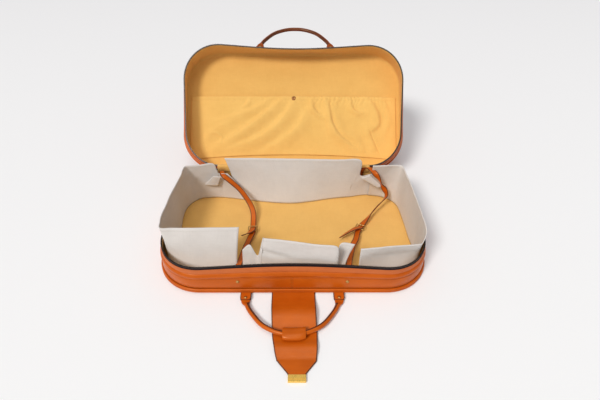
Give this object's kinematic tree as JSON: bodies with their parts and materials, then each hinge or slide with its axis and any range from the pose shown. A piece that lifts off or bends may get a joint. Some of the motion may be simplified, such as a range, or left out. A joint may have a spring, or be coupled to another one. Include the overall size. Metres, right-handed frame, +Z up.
{
  "type": "leather suitcase",
  "caption": "Soft leather suitcase lying open: lined base and lid on a leather spine, zip edge, canvas dust walls, buckled straps, lid pocket, closing tongue and carrying handles.",
  "frame": {"origin": "Centre of the base's outer panel, on the face it lies on.", "axes": "+X to the right seen from the front, +Y from the tongue towards the spine and the open lid, +Z up out of the base."},
  "size_m": [0.55, 0.8547, 0.2754],
  "materials": {
    "leather": "waxed cowhide, cognac",
    "dark_leather": "cut edge of the covered board, dyed darker",
    "light_leather": "narrow facing beside the zip, a lighter tan",
    "cotton": "mustard cotton twill lining",
    "canvas": "grey-beige canvas",
    "zip_tape": "black woven zip tape with its teeth",
    "brass": "polished brass"
  },
  "bodies": {
    "base": {"base_panel": "leather", "base_board": "dark_leather", "base_piping": "leather", "lower_gusset": "leather", "lower_welt": "leather", "lower_zip_facing": "light_leather", "lower_zip_tape": "zip_tape", "floor_lining": "cotton", "lower_wall_lining": "cotton", "spine_lower_leaf": "leather", "spine_arch": "leather", "canvas_left_wrap": "canvas", "canvas_right_wrap": "canvas", "canvas_rear": "canvas", "canvas_front": "canvas", "left_strap_rear": "leather", "left_strap_front": "leather", "left_buckle_frame": "brass", "left_buckle_prong": "brass", "left_strap_rivet": "brass", "right_strap_rear": "leather", "right_strap_front": "leather", "right_buckle_frame": "brass", "right_buckle_prong": "brass", "right_strap_rivet": "brass", "tongue_root": "leather", "front_left_chape_root": "leather", "front_right_chape_root": "leather", "zip_slider": "brass"},
    "lid": {"lid_panel": "leather", "lid_board": "dark_leather", "lid_piping": "leather", "upper_gusset": "leather", "upper_welt": "leather", "upper_zip_facing": "light_leather", "upper_zip_tape": "zip_tape", "lid_lining": "cotton", "upper_wall_lining": "cotton", "spine_upper_leaf": "leather", "lid_pocket": "cotton", "pocket_snap": "brass", "lid_left_chape_root": "leather", "lid_right_chape_root": "leather", "catch_plate": "brass"},
    "tongue_lower": {"tongue_lower_flap": "leather"},
    "tongue_upper": {"tongue_upper_flap": "leather", "tongue_clip": "brass"},
    "front_handle": {"front_left_chape_fold": "leather", "front_right_chape_fold": "leather", "front_left_chape_rivet": "brass", "front_right_chape_rivet": "brass", "front_handle_grip": "leather", "front_handle_sleeve": "leather"},
    "lid_handle": {"lid_left_chape_fold": "leather", "lid_right_chape_fold": "leather", "lid_left_chape_rivet": "brass", "lid_right_chape_rivet": "brass", "lid_handle_grip": "leather"},
    "catch_button": {"catch_button": "brass"},
    "zip_pull": {"zip_pull": "brass"}
  },
  "joints": [
    {"name": "lid_hinge", "type": "hinge", "parent": "base", "child": "lid", "pos_m": [0, 0.1545, 0.0705], "axis": [1, 0, 0], "range_deg": [-33, 137], "deforming": ["spine_arch"]},
    {"name": "tongue_base_fold", "type": "hinge", "parent": "base", "child": "tongue_lower", "pos_m": [0, -0.1585, 0.003], "axis": [-1, 0, 0], "range_deg": [0, 90], "deforming": ["tongue_lower_flap"]},
    {"name": "tongue_edge_fold", "type": "hinge", "parent": "tongue_lower", "child": "tongue_upper", "pos_m": [0, -0.295, 0.0041], "axis": [-1, 0, 0], "range_deg": [0, 90]},
    {"name": "front_handle_swing", "type": "hinge", "parent": "base", "child": "front_handle", "pos_m": [-0.002, -0.1572, 0.0035], "axis": [-1, 0, 0], "range_deg": [0, 72]},
    {"name": "lid_handle_swing", "type": "hinge", "parent": "lid", "child": "lid_handle", "pos_m": [0.0035, 0.42407, 0.23847], "axis": [1, 0, 0], "range_deg": [-58, 77]},
    {"name": "catch_button_press", "type": "slide", "parent": "lid", "child": "catch_button", "axis": [0, -0.682, 0.7314], "range_m": [0, 0.002], "stiffness_N_per_m": 600, "springref_m": -0.0005},
    {"name": "zip_pull_swing", "type": "hinge", "parent": "base", "child": "zip_pull", "pos_m": [0.23796, 0.13072, 0.06717], "axis": [0.7052, -0.709, 0], "range_deg": [0, 90]}
  ]
}
